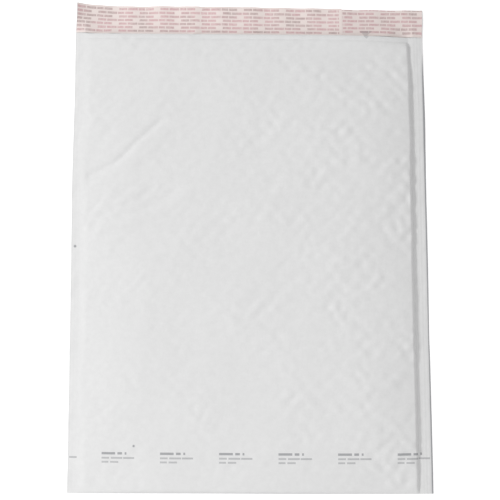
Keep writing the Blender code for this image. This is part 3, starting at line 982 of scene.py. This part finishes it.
class ENVELOPE_OT_cover(Operator):
    """Folds the paper cover: front, bottom fold, back and flap in one sheet"""
    bl_idname = "envelope.cover"
    bl_label = "Paper Cover"

    def execute(self, context):
        s, colours = panel_values(context)
        outer = cover_grid(s)
        inner = outer + s.paper * inward(outer)
        piece = sheet_between("envelope_paper", outer, inner, paper_material(colours))
        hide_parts("paper_shell")
        return {"FINISHED"}


class ENVELOPE_OT_bubble_film(Operator):
    """Lines the cover with bubble film: a folded sheet towards the pocket and its bubbles"""
    bl_idname = "envelope.bubble_film"
    bl_label = "Bubble Film"

    def execute(self, context):
        s, colours = panel_values(context)
        web, web_faces = closed_sheet(*film_web(s))
        domes, dome_faces = bubbles(s, len(web))
        points = np.concatenate([web, domes])
        uv = np.stack([points[:, 0] / s.width + 0.5, points[:, 1] / s.length + 0.5], 1)
        uv = uv * (UV_HIGH - UV_LOW) + UV_LOW
        material = film_material(colours)
        piece = make_piece("bubble_film", points, web_faces + dome_faces, uv, material)
        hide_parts("bubble_lining")
        return {"FINISHED"}


class ENVELOPE_OT_adhesive(Operator):
    """Lays the strip of adhesive on the flap"""
    bl_idname = "envelope.adhesive"
    bl_label = "Adhesive Strip"

    def execute(self, context):
        s, colours = panel_values(context)
        edge = s.width / 2 - s.adhesive_inset
        last = s.cut - s.adhesive_from_cut
        x, y, low = strip_grid(s, -edge, edge, last - s.adhesive_depth, last, 2.5 * MM)[2:]
        gap, thickness, unevenness = 0.15 * MM, 0.15 * MM, 0.03 * MM
        laid = low + s.paper + gap
        top = stack(x, y, laid + thickness + unevenness * ripples(x, y, 4, 20, 10, 41))
        piece = sheet_between("adhesive_coat", top, stack(x, y, laid), adhesive_material(colours))
        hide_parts("adhesive_strip")
        return {"FINISHED"}


class ENVELOPE_OT_liner(Operator):
    """Lays the printed release liner over the adhesive"""
    bl_idname = "envelope.liner"
    bl_label = "Release Liner"

    def execute(self, context):
        s, colours = panel_values(context)
        left, right = -s.width / 2 + 0.8 * MM, s.width / 2 - 0.6 * MM
        lowest, highest = s.cut - s.liner_depth, s.cut - LINER_FROM_CUT * MM
        plan_x, row_y, x, y, low = strip_grid(s, left, right, lowest, highest, 1.1 * MM)
        up_strip = (row_y - lowest) / s.liner_depth
        loose = 1 - smooth(up_strip / 0.35)
        wave = 0.5 + 0.5 * ripples(x, y * 0.3, 14, 60, 14, 31)
        lift = 0.22 * MM * np.clip(wave, 0, 3)
        lift += 0.7 * MM * bell(x + 54 * MM, 4.5 * MM) * (0.5 + 0.8 * loose)
        lift += 0.9 * MM * bell(x + 146 * MM, 9 * MM) * loose
        before_splice = plan_x < 97.5 * MM
        past_cut = 1.3 * MM * smooth((plan_x + 130 * MM) / (55 * MM)) * before_splice
        left_end = smooth((-136 * MM - x) / (18 * MM))
        y = y + past_cut * up_strip - 1.1 * MM * left_end * loose
        gap, thickness = 0.4 * MM, 0.12 * MM
        under = low + s.paper + gap + lift
        top = stack(x, y, under + thickness)
        material = liner_material(s, colours)
        piece = sheet_between("liner_paper", top, stack(x, y, under), material)
        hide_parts("release_liner")
        return {"FINISHED"}


class ENVELOPE_OT_stage(Operator):
    """Sets the floor, the lights, the white surroundings and the camera"""
    bl_idname = "envelope.stage"
    bl_label = "Studio"

    def execute(self, context):
        context.scene.view_settings.view_transform = "Standard"
        make_table()
        make_light("key", (-2.33, 0.41, 1.85), 0.5, 48.0)
        make_light("fill", (0.0, -1.1, 1.1), 0.7, 3.6)
        make_surroundings()
        make_camera()
        return {"FINISHED"}


class ENVELOPE_PT_panel(Panel):
    """Lists the pieces and their sizes"""
    bl_idname = "ENVELOPE_PT_panel"
    bl_label = "Padded Envelope"
    bl_space_type = "VIEW_3D"
    bl_region_type = "UI"
    bl_category = "Envelope"

    def draw(self, context):
        for operator in OPERATORS:
            self.layout.operator(operator.bl_idname)
        for group in panel_values(context):
            box = self.layout.box()
            for key in group.__annotations__:
                box.prop(group, key)


OPERATORS = [ENVELOPE_OT_cover, ENVELOPE_OT_bubble_film, ENVELOPE_OT_adhesive, ENVELOPE_OT_liner,
             ENVELOPE_OT_stage]
GROUPS = {"envelope_sizes": EnvelopeSizes, "envelope_colours": EnvelopeColours}
CLASSES = [*GROUPS.values(), *OPERATORS, ENVELOPE_PT_panel]


def register():
    for item in CLASSES:
        bpy.utils.register_class(item)
    for name, group in GROUPS.items():
        setattr(bpy.types.Scene, name, PointerProperty(type=group))


def unregister():
    for name in GROUPS:
        delattr(bpy.types.Scene, name)
    for item in reversed(CLASSES):
        bpy.utils.unregister_class(item)


def main():
    register()
    bpy.ops.envelope.cover()
    bpy.ops.envelope.bubble_film()
    bpy.ops.envelope.adhesive()
    bpy.ops.envelope.liner()
    bpy.ops.envelope.stage()


if __name__ == "__main__":
    main()
